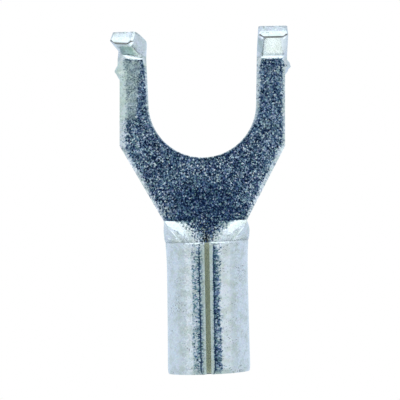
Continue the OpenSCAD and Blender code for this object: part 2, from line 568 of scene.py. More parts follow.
class Weld:
    """Gathers grids of points of the blank, and joins points that coincide."""

    CLOSE = 1e-5

    def __init__(self) -> None:
        """Starts with no points."""
        self.points: list[tuple[float, float, float]] = []
        self.marks: list[tuple[float, float, float]] = []
        self.faces: list[list[int]] = []
        self._seen: dict[tuple[int, int, int], int] = {}

    def _number(self, point: Points, sheared: float, rolled: float) -> int:
        """Number of a point, new or known.

        Args:
            point: The point's place.
            sheared: How far it lies in a sheared face, from 0 to 1.
            rolled: How far it lies in a rolled edge, from 0 to 1.

        Returns:
            Its number.
        """
        key = tuple(int(round(v / self.CLOSE)) for v in point)
        if key not in self._seen:
            self._seen[key] = len(self.points)
            self.points.append(tuple(float(v) for v in point))
            self.marks.append((float(sheared), float(rolled), 0.0))
        return self._seen[key]

    def grid(self, rows: Points, sheared: float = 0.0, rolled: Points | None = None) -> None:
        """Adds the faces of a grid.

        Args:
            rows: Points of the grid, [row, column, xyz].
            sheared: How far the grid is a sheared face, from 0 to 1.
            rolled: How far each point lies in a rolled edge, from 0 to 1, [row, column].
        """
        near = np.zeros(rows.shape[:2]) if rolled is None else rolled
        numbers = [
            [self._number(p, sheared, r) for p, r in zip(row, marks)]
            for row, marks in zip(rows, near)
        ]
        for low, high in zip(numbers, numbers[1:]):
            for a, b, c, d in zip(low, low[1:], high[1:], high):
                corners = list(dict.fromkeys([a, b, c, d]))
                if len(corners) > 2:
                    self.faces.append(corners)


class Outline:
    """Segments of the blank's outline, each with the roll of its edge.

    Places are worked out CHUNK at a time. A roll narrower than WIDE millimetres counts for less.
    """

    CHUNK = 4000
    WIDE = 0.15

    def __init__(self) -> None:
        """Starts with no segments."""
        self.starts: list[Points] = []
        self.ends: list[Points] = []
        self.rolls: list[tuple[float, float, float]] = []

    def run(self, points: Points, rolls: list[Roll]) -> None:
        """Adds the segments of a line of points.

        Args:
            points: Points [x, y] of the line.
            rolls: The roll of the edge at each point, which the segment from there takes.
        """
        self.starts.extend(points[:-1])
        self.ends.extend(points[1:])
        self.rolls.extend([(r.width, r.depth, r.power) for r in rolls[:-1]])

    def loss(self, x: Points, y: Points) -> tuple[Points, Points]:
        """How much of the sheet's thickness the rolled edges take away.

        Args:
            x: X of the points.
            y: Y of the points.

        Returns:
            The loss of height at each point, and how far it lies in a rolled edge. Narrow rolls
            count for less.
        """
        starts, ends = np.array(self.starts), np.array(self.ends)
        width, depth, power = np.array(self.rolls).T
        p = np.stack([x.ravel(), y.ravel()], 1)
        loss, rolled = np.zeros(len(p)), np.zeros(len(p))
        run = ends - starts
        square = np.maximum((run**2).sum(1), 1e-12)
        for i in range(0, len(p), self.CHUNK):
            off = p[i : i + self.CHUNK, None] - starts[None]
            along = np.clip((off * run).sum(2) / square, 0, 1)
            gap = np.linalg.norm(off - along[..., None] * run, axis=2)
            inner = np.clip(1 - gap / width, 0, 1)
            loss[i : i + self.CHUNK] = (depth * inner**power).max(1)
            rolled[i : i + self.CHUNK] = (inner * np.minimum(1, width / self.WIDE)).max(1)
        return loss.reshape(x.shape), rolled.reshape(x.shape)


@dataclass
class SheetMesh:
    """The skin of the whole blank: upper side, underside and sheared faces.

    Lengths are in millimetres. Names in points, middle, columns and levels are numbers of points.
    """

    blank: Blank
    weld: Weld = field(default_factory=Weld)
    near_edge: tuple = (
        0, 0.012, 0.028, 0.048, 0.074, 0.104, 0.136, 0.146, 0.17, 0.195, 0.205, 0.24, 0.28
    )
    near_wings: tuple = (0.165, 0.13, 0.1, 0.072, 0.047, 0.026, 0.01, 0)
    before_wings: float = 0.2
    fold_blend: float = 0.3
    stub_blend: float = 0.05
    stub_round: float = 1.9
    slot_end_pace: float = 4
    fine_step: float = 0.03
    fine_to: float = 1.05
    lip_zone: float = 1.0

    outline_flange_points: int = 30
    outline_side_points: int = 50
    outline_neck_points: int = 40
    outline_barrel_points: int = 60
    outline_slot_points: int = 120
    flange_points: int = 9
    bend_points: int = 15
    side_points: int = 14
    neck_points: int = 24
    wing_points: int = 18
    lip_points: int = 30
    fork_middle: int = 9
    barrel_middle: int = 44
    rear_columns: tuple = (44, 40, 44, 40, 14)
    edge_levels: int = 11

    def build(self) -> Weld:
        """Meshes the blank part by part.

        Returns:
            The welded points and faces.
        """
        self.upper_line = self._free_edges(self.blank.sizes.sheet_t)
        self.under_line = self._free_edges(0.0)
        waist = self._fork()
        last = self._neck(waist)
        self._barrel(last)
        return self.weld

    def _spaced(self, length: float, middle: int) -> Points:
        """Distances across a strip, close together near both of its edges.

        Args:
            length: Width of the strip.
            middle: How many points lie clear of both edges.

        Returns:
            The distances from one edge.
        """
        near = np.array(self.near_edge)
        between = np.linspace(near[-1], length - near[-1], middle + 2)[1:-1]
        return np.concatenate([near, between, length - near[::-1]])

    def _corners(self, side: Side) -> list[Points]:
        """Corners of the outline behind the stud centre.

        Args:
            side: The side of the fork.

        Returns:
            The tine's root, the shoulder and the end of the waist.
        """
        b, back = self.blank, self.blank.sizes.waist_back
        root = np.array([float(b.outer_x(side, 0)), 0.0])
        waist = np.array([float(b.neck_x(side, -back)), -back])
        return [root, b.shoulder(side), waist]

    def _free_edges(self, z: float) -> Outline:
        """Outline of the blank at one of its faces, with the roll of each edge.

        Args:
            z: Height of the face: 0 for the underside, the thickness for the upper side.

        Returns:
            The outline.
        """
        b, s = self.blank, self.blank.sizes
        upper = z > 0
        line = Outline()
        slot_rolls = {Side.LEFT: b.left_slot, Side.RIGHT: b.right_slot}
        side_rolls = {Side.LEFT: b.left_side, Side.RIGHT: b.right_side}
        lips = {Side.LEFT: b.left_lip, Side.RIGHT: b.right_lip}

        def kind(roll: Roll) -> Roll:
            """The roll on the upper side, or the small burr on the underside."""
            return roll if upper else b.burr

        for side in Side:
            tip, bend = s.tip_at(side), s.tine_ends[side].bend_at
            flange = np.linspace(tip, bend, self.outline_flange_points)
            y = np.concatenate([flange, np.linspace(bend, 0, self.outline_side_points)[1:]])
            fold = np.clip((y - bend + self.fold_blend) / (2 * self.fold_blend), 0, 1)
            outer = b.outer_x(side, y) + (0 if upper else side.value) * b.stub(side, y)
            slot = b.slot_x(side, y)
            for x, roll in ((outer, side_rolls[side]), (slot, slot_rolls[side])):
                line.run(np.stack([x, y], 1), [kind(roll.towards(b.flange, f)) for f in fold])
            line.run(np.array([[outer[0], tip], [slot[0], tip]]), [b.tip if upper else b.plain] * 2)
            rolls = [kind(side_rolls[side]), kind(b.taper), kind(b.taper)]
            line.run(np.array(self._corners(side)), rolls)
            y = -np.linspace(s.waist_back, s.barrel_back, self.outline_neck_points)
            line.run(np.stack([b.neck_x(side, y), y], 1), [kind(b.neck_side)] * len(y))
            y = -np.linspace(s.barrel_back, s.rear_back, self.outline_barrel_points)
            seam = b.seam_x(side, y, z)
            line.run(np.stack([seam, y], 1), [b.cut if upper else lips[side]] * len(y))
            wing = float(b.neck_x(side, -s.barrel_back))
            front = b.cut if upper else b.front_rim
            line.run(np.array([[wing, y[0]], [seam[0], y[0]]]), [front] * 2)
            rear = b.mouth if upper else b.rear_rim
            line.run(np.array([[s.barrel_shift, y[-1]], [seam[-1], y[-1]]]), [rear] * 2)
        share = np.linspace(0, 1, self.outline_slot_points)
        ends = []
        for f in share:
            roll, away = (b.left_slot, f) if f < 0.5 else (b.right_slot, 1 - f)
            ends.append(kind(roll.towards(b.slot_end, min(1, self.slot_end_pace * away))))
        turn = math.pi * (1 + share)
        line.run(s.slot_r * np.stack([np.cos(turn), np.sin(turn)], 1), ends)
        return line

    def _skins(self, upper: Points, under: Points) -> tuple[Points, Points]:
        """Adds the upper side and the underside over one grid.

        Args:
            upper: Places [row, column, xy] on the upper side.
            under: Places [row, column, xy] on the underside.

        Returns:
            The two grids with their heights.
        """
        b = self.blank
        lost, upper_rolled = self.upper_line.loss(upper[..., 0], upper[..., 1])
        low, under_rolled = self.under_line.loss(under[..., 0], under[..., 1])
        above = np.concatenate([upper, (b.sizes.sheet_t - lost)[..., None]], 2)
        below = np.concatenate([under, low[..., None]], 2)
        self.weld.grid(above, 0.0, upper_rolled)
        self.weld.grid(below, 0.0, under_rolled)
        return above, below

    def _edge(
        self,
        above: Points,
        below: Points,
        bulge: Points | None = None,
        upright: Points | float | None = None,
    ) -> None:
        """Adds a sheared face between the rims of the two skins.

        Args:
            above: Rim of the upper side, [point, xyz].
            below: Rim of the underside, [point, xyz].
            bulge: How far each point is part of a stub, from 0 to 1.
            upright: Share of the face that stands square to the sheet, from the upper side, for
                the whole face or for each point.
        """
        levels = np.linspace(0, 1, self.edge_levels)
        burnished = self.blank.burnish_share if upright is None else upright
        burnished = np.broadcast_to(burnished, len(above))[:, None]
        lean = np.clip((levels - burnished) / (1 - burnished), 0, 1)
        stub = np.zeros(len(above)) if bulge is None else bulge
        rounded = np.sin(np.pi / 2 * np.clip(levels * self.stub_round, 0, 1))
        out = lean + (rounded - lean) * stub[:, None]
        share = np.stack([out, out, np.broadcast_to(levels, out.shape)], 2)
        rows = above[:, None] + (below - above)[:, None] * share
        self.weld.grid(rows, 1.0)

    def _fork(self) -> tuple[Points, Points]:
        """Adds the fork as one strip from tip to tip, round the slot.

        Returns:
            The upper and lower rim of the waist, where the neck goes on.
        """
        b, s = self.blank, self.blank.sizes
        inner, outer, ray_kind = self._fork_rays()
        stubs = sum(
            np.where(outer[:, 0] * side.value > 0, b.stub(side, outer[:, 1]), 0) for side in Side
        )
        stubs = np.where(outer[:, 1] > 0, stubs, 0)
        ray = outer - inner
        length = np.linalg.norm(ray, axis=1)
        unit = ray / length[:, None]
        upper, under = [], []
        for p, q, n, u, kind, stub in zip(inner, outer, length, unit, ray_kind, stubs):
            along = self._spaced(n, self.fork_middle) / n
            upper.append(p + (q - p) * along[:, None])
            low_p = p + u * b.shear_lean
            low_q = q if kind == "waist" else q + u * (stub - b.shear_lean)
            under.append(low_p + (low_q - low_p) * along[:, None])
        upper, under = np.array(upper), np.array(under)
        slant = s.sheet_t * math.tan(math.radians(s.tip_slant))
        near_tip = np.zeros(upper.shape[:2])
        for side in Side:
            here = (upper[..., 0] * side.value > 0) & (upper[..., 1] > 0)
            near = np.clip(1 - (s.tip_at(side) - upper[..., 1]) / s.tip_run, 0, 1)
            near_tip = np.where(here, near, near_tip)
        under[..., 1] -= slant * near_tip
        upright = b.burnish_share * (1 - near_tip[:, 0])
        above, below = self._skins(upper, under)
        self._edge(above[:, 0], below[:, 0], upright=upright)
        waist = np.flatnonzero(np.array(ray_kind) == "waist")
        first, last = waist[0] - 1, waist[-1] + 1
        bulge = np.clip(stubs / self.stub_blend, 0, 1)
        for part in (slice(0, first + 1), slice(last, None)):
            self._edge(above[part, -1], below[part, -1], bulge[part], upright[part])
        self._edge(above[0], below[0], upright=0.0)
        self._edge(above[-1], below[-1], upright=0.0)
        return above[first : last + 1, -1], below[first : last + 1, -1]

    def _tine_stations(self, side: Side) -> Points:
        """Stations along a tine, from its tip to the stud centre's line.

        Args:
            side: The tine's side.

        Returns:
            The Y of each station on the flat sheet.
        """
        s, end = self.blank.sizes, self.blank.sizes.tine_ends[side]
        tip = s.tip_at(side)
        bent = end.bend_at + s.bend_arc(side)
        near = tip - np.array(self.near_edge)
        flange = np.linspace(near[-1], bent, self.flange_points)[1:]
        bend = np.linspace(bent, end.bend_at, self.bend_points)[1:]
        fine = np.arange(end.bend_at - self.fine_step, self.fine_to, -self.fine_step)
        plain = np.linspace(fine[-1], 0, self.side_points)[1:]
        return np.concatenate([near, flange, bend, fine, plain])

    def _fork_rays(self) -> tuple[Points, Points, list[str]]:
        """Lines across the fork, from the slot's side to the outline.

        Returns:
            Inner ends, outer ends, and for each line "side" or "waist".
        """
        b, s = self.blank, self.blank.sizes
        inner, outer, kinds = [], [], []

        def cross_tine(side: Side, y: Points) -> None:
            """Adds a line across a tine at each Y.

            Args:
                side: The tine's side.
                y: Stations along the tine.
            """
            inner.extend(np.stack([b.slot_x(side, y), y], 1))
            outer.extend(np.stack([b.outer_x(side, y), y], 1))
            kinds.extend(["side"] * len(y))

        cross_tine(Side.LEFT, self._tine_stations(Side.LEFT))
        left, right = self._corners(Side.LEFT), self._corners(Side.RIGHT)
        corners = left + right[::-1]
        for i, (a, c, count) in enumerate(zip(corners, corners[1:], self.rear_columns)):
            at_waist = i == len(left) - 1
            share = np.linspace(0, 1, count + 1)[1:]
            if at_waist:
                eased = (1 - np.cos(math.pi * share)) / 2
                share = (eased + share) / 2
            ends = a + (c - a) * share[:, None]
            reach = np.linalg.norm(ends, axis=1)[:, None]
            inner.extend(ends / reach * s.slot_r)
            outer.extend(ends)
            kinds.extend(["waist"] * (count - 1) + ["side"] if at_waist else ["side"] * count)
        cross_tine(Side.RIGHT, self._tine_stations(Side.RIGHT)[::-1][1:])
        return np.array(inner), np.array(outer), kinds

    def _neck(self, waist: tuple[Points, Points]) -> tuple[Points, Points]:
        """Adds the neck.

        Args:
            waist: Upper and lower rim of the waist.

        Returns:
            The places of the last row on both sides of the sheet.
        """
        b, s = self.blank, self.blank.sizes
        plain = np.linspace(s.waist_back, s.barrel_back - self.before_wings, self.neck_points)
        back = np.concatenate([plain, s.barrel_back - np.array(self.near_wings)])
        grids = []
        for rim in waist:
            left, right = rim[0, :2], rim[-1, :2]
            share = (rim[:, 0] - left[0]) / (right[0] - left[0])
            lean_left = left[0] - float(b.neck_x(Side.LEFT, -s.waist_back))
            lean_right = right[0] - float(b.neck_x(Side.RIGHT, -s.waist_back))
            rows = [rim[:, :2]]
            for y in -back[1:]:
                fade = (y + s.barrel_back) / s.neck_len
                x0 = float(b.neck_x(Side.LEFT, y)) + lean_left * fade
                x1 = float(b.neck_x(Side.RIGHT, y)) + lean_right * fade
                rows.append(np.stack([x0 + (x1 - x0) * share, np.full(len(share), y)], 1))
            grids.append(np.array(rows))
        above, below = self._skins(*grids)
        self._edge(above[:, 0], below[:, 0])
        self._edge(above[:, -1], below[:, -1])
        return grids[0][-1], grids[1][-1]

    def _wing(self, root: float, end: float) -> Points:
        """Stations across a wing of the barrel.

        Args:
            root: X where the wing leaves the neck.
            end: X of its edge at the seam.

        Returns:
            The X of each station from the root on, without the root itself.
        """
        near = np.array(self.near_edge)
        wide = abs(end - root)
        plain = np.linspace(0, wide - self.lip_zone, self.wing_points)[1:]
        lip = np.linspace(wide - self.lip_zone, wide - near[-1], self.lip_points)[1:]
        return root + np.sign(end - root) * np.concatenate([plain, lip, wide - near[::-1][1:]])

    def _barrel(self, front: tuple[Points, Points]) -> None:
        """Adds the barrel with its two wings.

        Args:
            front: The neck's last row on both sides of the sheet.
        """
        b, s = self.blank, self.blank.sizes
        near = np.array(self.near_edge)
        back = s.barrel_back + self._spaced(s.barrel_len, self.barrel_middle)
        back = np.concatenate([back[: -len(near)], s.rear_back - near[::-1]])
        grids = []
        for rim, z in zip(front, (s.sheet_t, 0.0)):
            rows = []
            for y in -back:
                left = self._wing(rim[0, 0], float(b.seam_x(Side.LEFT, y, z)))
                right = self._wing(rim[-1, 0], float(b.seam_x(Side.RIGHT, y, z)))
                x = np.concatenate([left[::-1], rim[:, 0], right])
                rows.append(np.stack([x, np.full(len(x), y)], 1))
            grids.append(np.array(rows))
        above, below = self._skins(*grids)
        floor_share = s.seam_floor / s.sheet_t
        for rim in ((slice(None), 0), (slice(None), -1), (-1, slice(None))):
            self._edge(above[rim], below[rim], upright=floor_share)
        wing = (above.shape[1] - len(front[0])) // 2
        upright = np.linspace(floor_share, b.burnish_share, wing + 1)
        self._edge(above[0, : wing + 1], below[0, : wing + 1], upright=upright)
        self._edge(above[0, -wing - 1 :], below[0, -wing - 1 :], upright=upright[::-1])


class Graph:
    """The node tree of a material or of the world."""

    def __init__(self, tree: bpy.types.NodeTree) -> None:
        """Starts with an empty tree."""
        tree.nodes.clear()
        self.tree = tree

    def node(
        self,
        kind: str,
        settings: dict[str, Any] | None = None,
        inputs: dict[str | int, Any] | None = None,
    ) -> bpy.types.Node:
        """Adds a node.

        Args:
            kind: The node's type.
            settings: Values of its properties.
            inputs: A value, a socket or a Tone for each input, by name or number.

        Returns:
            The new node.
        """
        node = self.tree.nodes.new(kind)
        for name, value in (settings or {}).items():
            setattr(node, name, value)
        for key, value in (inputs or {}).items():
            source = value.socket if isinstance(value, Tone) else value
            if isinstance(source, bpy.types.NodeSocket):
                self.tree.links.new(source, node.inputs[key])
            else:
                node.inputs[key].default_value = source
        return node

    def tone(
        self,
        kind: str,
        output: str | int = 0,
        settings: dict[str, Any] | None = None,
        inputs: dict[str | int, Any] | None = None,
    ) -> "Tone":
        """Adds a node and takes one of its outputs.

        Args:
            kind: The node's type.
            output: Name or number of the output.
            settings: Values of the node's properties.
            inputs: A value, a socket or a Tone for each input, by name or number.

        Returns:
            The output.
        """
        return Tone(self, self.node(kind, settings, inputs).outputs[output])

    def mix(self, a: Any, b: Any, factor: Any, blend: str = "MIX") -> "Tone":
        """Mixes two colours.

        Args:
            a: Colour at factor 0.
            b: Colour at factor 1.
            factor: Number or Tone from 0 to 1.
            blend: How the colours meet.

        Returns:
            The mixed colour.
        """
        settings = {"data_type": "RGBA", "blend_type": blend}
        return self.tone("ShaderNodeMix", 2, settings, {0: factor, 6: a, 7: b})

    def tinted(self, colour: "Tone", tint: Any, share: Any) -> "Tone":
        """Multiplies a colour by a tint where a mask says so.

        Args:
            colour: The colour.
            tint: The tint.
            share: Number or Tone, from 0 for none of the tint to 1 for all of it.

        Returns:
            The tinted colour.
        """
        return self.mix(colour, self.mix(colour, tint, 1.0, "MULTIPLY"), share)

    def split(self, vector: "Tone") -> list["Tone"]:
        """The three parts of a vector."""
        node = self.node("ShaderNodeSeparateXYZ", {}, {0: vector})
        return [Tone(self, out) for out in node.outputs]

    def cells(self, at: "Tone", size: float) -> "Tone":
        """A random colour for each grain.

        Args:
            at: Places in millimetres.
            size: Size of a grain in millimetres.

        Returns:
            The colour.
        """
        settings = {"voronoi_dimensions": "3D", "feature": "F1"}
        return self.tone("ShaderNodeTexVoronoi", "Color", settings, {0: at, "Scale": 1 / size})

    def noise(self, at: "Tone", scale: float, detail: float = 2.0, **inputs: Any) -> "Tone":
        """Value of a noise texture.

        Args:
            at: Places in millimetres.
            scale: How fine the noise is.
            detail: How many finer layers it has.
            **inputs: Values of other inputs of the node.

        Returns:
            The value, from 0 to 1.
        """
        values = {"Vector": at, "Scale": scale, "Detail": detail, **inputs}
        return self.tone("ShaderNodeTexNoise", "Fac", {"noise_dimensions": "3D"}, values)


@dataclass
class Tone:
    """A socket with arithmetic: each operation adds the node that it needs.

    Values go through Math nodes. Where a vector or a colour takes part, it is Vector Math.
    """

    graph: Graph
    socket: bpy.types.NodeSocket

    @staticmethod
    def is_wide(value: Any) -> bool:
        """Tells vectors and colours from values.

        Args:
            value: A number, a tuple or a Tone.

        Returns:
            Whether it is a vector or a colour.
        """
        if isinstance(value, Tone):
            return value.socket.type in {"VECTOR", "RGBA"}
        return isinstance(value, tuple)

    def _math(self, operation: str, *values: Any) -> "Tone":
        """Adds a node that works something out.

        Args:
            operation: What it does.
            *values: Numbers, vectors or Tones that it takes.

        Returns:
            The result.
        """
        wide = any(self.is_wide(value) for value in values)
        kind = "ShaderNodeVectorMath" if wide else "ShaderNodeMath"
        return self.graph.tone(kind, 0, {"operation": operation}, dict(enumerate(values)))

    def __add__(self, other: Any) -> "Tone":
        """Sum."""
        return self._math("ADD", self, other)

    __radd__ = __add__

    def __sub__(self, other: Any) -> "Tone":
        """Difference."""
        return self._math("SUBTRACT", self, other)

    def __rsub__(self, other: Any) -> "Tone":
        """Difference from a number or a vector."""
        return self._math("SUBTRACT", other, self)

    def __mul__(self, other: Any) -> "Tone":
        """Product. A vector or a colour times a value is scaled.

        Args:
            other: A number, a tuple or a Tone.

        Returns:
            The product.
        """
        if self.is_wide(self) == self.is_wide(other):
            return self._math("MULTIPLY", self, other)
        wide, scale = (self, other) if self.is_wide(self) else (other, self)
        settings = {"operation": "SCALE"}
        return self.graph.tone("ShaderNodeVectorMath", 0, settings, {0: wide, "Scale": scale})

    __rmul__ = __mul__

    def __neg__(self) -> "Tone":
        """The same with the other sign."""
        return self * -1.0

    def __truediv__(self, other: Any) -> "Tone":
        """Quotient."""
        return self._math("DIVIDE", self, other)

    def __abs__(self) -> "Tone":
        """The same without its sign."""
        return self._math("ABSOLUTE", self)

    def at_least(self, other: "Tone") -> "Tone":
        """The greater of two values."""
        return self._math("MAXIMUM", self, other)

    def arccos(self) -> "Tone":
        """Angle whose cosine this is, in radians."""
        return self._math("ARCCOSINE", self)

    def unit(self) -> "Tone":
        """The same direction with length 1."""
        return self._math("NORMALIZE", self)

    def between(self, low: float, high: float) -> "Tone":
        """Goes from 0 to 1, eased at both ends.

        Args:
            low: Where it is 0. It may lie above or below the other.
            high: Where it is 1.

        Returns:
            The share.
        """
        start, end, to = (low, high, (0, 1)) if low < high else (high, low, (1, 0))
        settings = {"interpolation_type": "SMOOTHSTEP"}
        values = {"From Min": start, "From Max": end, "To Min": to[0], "To Max": to[1]}
        return self.graph.tone("ShaderNodeMapRange", 0, settings, {"Value": self, **values})


@dataclass(frozen=True)
class TinPlate:
    """Tin plating whose grains each lean their own way, with dull patches and dark specks.

    A pair of numbers is a zone's border in millimetres of the blank: a mask is 0 at the first
    and 1 at the second.
    """

    name: str = "tin_plate"
    light: Colour = (0.79, 0.81, 0.82, 1)
    dull: Colour = (0.67, 0.7, 0.65, 1)
    speck: Colour = (0.2, 0.22, 0.2, 1)
    shadow: Colour = (0.84, 0.84, 0.86, 1)
    film: Colour = (0.54, 0.55, 0.4, 1)
    # Greenish film on the seam's lips, which also darkens them towards the gap as painted shade.
    lip_film_and_shade: Colour = (0.74, 0.79, 0.73, 1)
    rubbed: Colour = (0.94, 1, 0.92, 1)
    stain: Colour = (0.48, 0.6, 0.6, 1)
    # Painted shade: a near-black colour for thin lines along the rims of the tips.
    painted_rim_shade: Colour = (0.1, 0.09, 0.08, 1)
    # Painted highlight: a near-white colour that brightens a patch on the right flange just past
    # its bend.
    painted_highlight: Colour = (1, 0.98, 0.92, 1)
    seam_from: float = Sizes().barrel_back
    seam_to: float = Sizes().rear_back
    tips: tuple = (Sizes().tip_at(Side.LEFT), Sizes().tip_at(Side.RIGHT))

    # Grains and how far they lean
    grain: float = 0.058
    hue_grain: float = 1.4
    coarse_grain: float = 0.12
    lean: float = 0.575
    low_lean: float = 0.68
    tine_lean: float = 0.43
    neck_lean: float = 0.16
    flange_calm: float = 0.7
    barrel_lean: float = 0.33
    coarse_lean: float = 0.14
    bias: tuple = (0.0, -0.2, 0.0)
    bump_height: float = 0.004

    # Roughness
    smooth_rough: float = 0.11
    patch_rough: float = 0.33
    rolled_rough: float = 0.26
    sheared_rough: float = 0.2
    film_rough: float = 0.5

    # Zones by height in the sheet
    above: tuple = (0.4, 0.5)
    above_wide: tuple = (0.3, 0.5)
    above_neck: tuple = (0.4, 0.6)
    below: tuple = (0.5, 0.3)
    near_underside: tuple = (0.11, 0.04)

    # Zones of the blank
    patch_x: tuple = (-2.98, -3.2)
    patch_crease: tuple = (-0.6, -0.36)
    patch_front: tuple = (2.2, 2.0)
    flange_y: tuple = (2.7, 2.8)
    left_stain_x: tuple = (-3.85, -3.7)
    left_stain_slot: tuple = (-3.0, -3.15)
    left_stain_front: tuple = (3.56, 3.45)
    right_stain_x: tuple = (2.58, 2.66)
    right_stain_side: tuple = (2.98, 2.88)
    right_stain_front: tuple = (3.8, 3.7)
    # Where the painted shade lines lie along the tips.
    tip_x: tuple = (2.4, 2.6)
    tip_y: tuple = (-0.07, -0.04)
    tip_face: tuple = (3.3, 3.4)
    # Where the painted highlight lies, on the right flange just past its bend.
    highlight_x: tuple = (2.95, 3.15)
    highlight_y: tuple = (2.7, 2.9)
    # Where the lips' film and painted shade lie beside the seam.
    lip_x: tuple = (4.0, 4.2)
    lip_back: tuple = (0.05, 0.2)
    seam_start: tuple = (0, 0.05)
    seam_end: tuple = (0.0, 0.06)
    tine_x: tuple = (0.6, 3.2)
    tine_y: tuple = (-4.6, -0.8)
    tongue_y: tuple = (-5.8, -5.0)
    low_y: tuple = (-3.2, -4.3)
    low_x: tuple = (2.0, 0.9)
    neck_y: tuple = (-5.4, -5.7)
    neck_x: tuple = (0.6, 1.6)
    bend_y: tuple = (2.1, 2.6)
    barrel_y: tuple = (-6.5, -6.8)

    def material(self) -> bpy.types.Material:
        """Makes the material.

        Returns:
            The finished material.
        """
        made = bpy.data.materials.new(self.name)
        made.use_nodes = True
        g = Graph(made.node_tree)
        flat = g.tone("ShaderNodeAttribute", "Vector", {"attribute_name": "flat"})
        marks = g.tone("ShaderNodeAttribute", "Vector", {"attribute_name": "marks"})
        x, y, z = g.split(flat)
        sheared, rolled, _ = g.split(marks)
        broad = g.noise(flat, 0.9, 3.0)
        mottle = g.noise(flat, 2.2, 4.0, Roughness=0.65)
        ragged = g.noise(flat, 5.0, 3.0) - 0.5
        cells = g.cells(flat, self.grain)
        shade, _, drift = g.split(cells)
        patch = self._patch(x, y, ragged)
        in_seam = sheared * (-y - self.seam_from).between(*self.seam_start)
        in_seam = in_seam * (self.seam_to + y).between(*self.seam_end)

        colour = g.mix(self.light, self.dull, mottle.between(0.44, 0.62) * 0.9)
        dots = g.noise(flat, 14, 1.0).between(0.59, 0.65)
        dots = dots * g.noise(flat, 1.3, 2.0).between(0.5, 0.62)
        colour = g.mix(colour, self.speck, dots * 0.7)
        colour = g.mix(colour, g.mix(self.shadow, WHITE, shade), 1.0, "MULTIPLY")
        hue = g.mix(WHITE, g.cells(flat, self.grain * self.hue_grain), 0.07)
        colour = g.mix(colour, hue, 1.0, "MULTIPLY")
        colour = g.tinted(colour, self.rubbed, patch)
        colour = g.tinted(colour, self.stain, self._stains(x, y, ragged))
        # Painted highlight: a patch past the right bend is turned near-white.
        highlight_patch = x.between(*self.highlight_x) * y.between(*self.highlight_y) * z.between(*self.above)
        colour = g.mix(colour, self.painted_highlight, highlight_patch * (1 - sheared) * (1 - rolled) * 0.9)
        # Painted shade: thin dark lines along the rims of the two tips.
        colour = g.mix(colour, self.painted_rim_shade, self._rim_shade_lines(x, y, z, sheared, g.noise(flat, 9.0)))
        # The lips take the greenish film, growing towards their edge: in part painted shade falling
        # into the gap.
        lip = rolled.between(0, 0.5) * z.between(*self.below) * abs(x).between(*self.lip_x)
        lip = lip * (-y - self.seam_from).between(*self.lip_back)
        colour = g.tinted(colour, self.lip_film_and_shade, lip)
        colour = g.mix(colour, self.film, in_seam)

        calm = 1 - (patch * 0.1).at_least(rolled.between(0, 0.5) * 0.3).at_least(sheared * 0.5)
        calm = calm * self._liveliness(x, y, z) * (1 - in_seam)
        middle = (0.5, 0.5, 0.5)
        lean = (cells - middle) * (calm * self.lean * (0.5 + drift))
        lean = lean + (g.cells(flat, self.coarse_grain) - middle) * (calm * self.coarse_lean)
        lean = lean + self.bias * (self._spread(x, y) * z.between(*self.above_wide))
        normal = (g.tone("ShaderNodeNewGeometry", "Normal") + lean).unit()
        relief = {"Strength": 1.0, "Distance": self.bump_height * MM}
        relief |= {"Height": broad * 2 + mottle, "Normal": normal}
        bump = g.tone("ShaderNodeBump", 0, {}, relief)

        rough = self.smooth_rough + (self.patch_rough - self.smooth_rough) * patch
        rough = rough.at_least(rolled.between(0, 0.6) * self.rolled_rough)
        rough = rough.at_least(sheared * self.sheared_rough)
        rough = rough.at_least(in_seam * self.film_rough)
        looks = {"Base Color": colour, "Metallic": 1 - in_seam, "Roughness": rough, "Normal": bump}
        shader = g.node("ShaderNodeBsdfPrincipled", {}, looks)
        g.node("ShaderNodeOutputMaterial", {}, {"Surface": shader.outputs[0]})
        return made

    def _patch(self, x: Tone, y: Tone, ragged: Tone) -> Tone:
        """The rubbed patch on the left tine, beyond its crease and short of its slot side.

        Args:
            x: X in the blank.
            y: Y in the blank.
            ragged: A fine noise about zero, which frays the border.

        Returns:
            The mask.
        """
        beyond = (y + ragged * 0.3 - x * 0.08).between(*self.patch_crease)
        aside = (x - y * 0.09 + ragged * 0.36).between(*self.patch_x)
        return beyond * aside * y.between(*self.patch_front)

    def _stains(self, x: Tone, y: Tone, ragged: Tone) -> Tone:
        """The grey middle of the left flange, and the grey strip beside the slot on the right.

        Args:
            x: X in the blank.
            y: Y in the blank.
            ragged: A fine noise about zero, which frays the borders.

        Returns:
            The mask.
        """
        across = x + ragged * 0.2
        left = across.between(*self.left_stain_x) * across.between(*self.left_stain_slot)
        left = left * (y + ragged * 0.2).between(*self.flange_y)
        left = left * (y - ragged * 0.2).between(*self.left_stain_front)
        right = x.between(*self.right_stain_x)
        right = right * (x + ragged * 0.1).between(*self.right_stain_side)
        right = right * y.between(*self.flange_y) * y.between(*self.right_stain_front) * 0.5
        return left + right

    def _rim_shade_lines(self, x: Tone, y: Tone, z: Tone, sheared: Tone, dots: Tone) -> Tone:
        """Painted shade: dark lines along the rims of the two tips, where their faces meet.

        Args:
            x: X in the blank.
            y: Y in the blank.
            z: Height in the sheet.
            sheared: How far the place lies in a sheared face.
            dots: A noise that breaks up the line below.

        Returns:
            The mask.
        """
        left = (-x).between(*self.tip_x) * (y - self.tips[0]).between(*self.tip_y)
        right = x.between(*self.tip_x) * (y - self.tips[1]).between(*self.tip_y)
        inner = (left + right) * z.between(*self.above) * (1 - sheared) * 0.85
        back = sheared * y.between(*self.tip_face) * z.between(*self.near_underside)
        return inner.at_least(back * dots.between(0.42, 0.52) * 0.7)

    def _spread(self, x: Tone, y: Tone) -> Tone:
        """How far a place lies out on the tines.

        Args:
            x: X in the blank.
            y: Y in the blank.

        Returns:
            From 0 in the lower middle of the tongue to 1 on the tines.
        """
        aside = abs(x).between(*self.tine_x)
        return y.between(*self.tine_y).at_least(aside * y.between(*self.tongue_y))

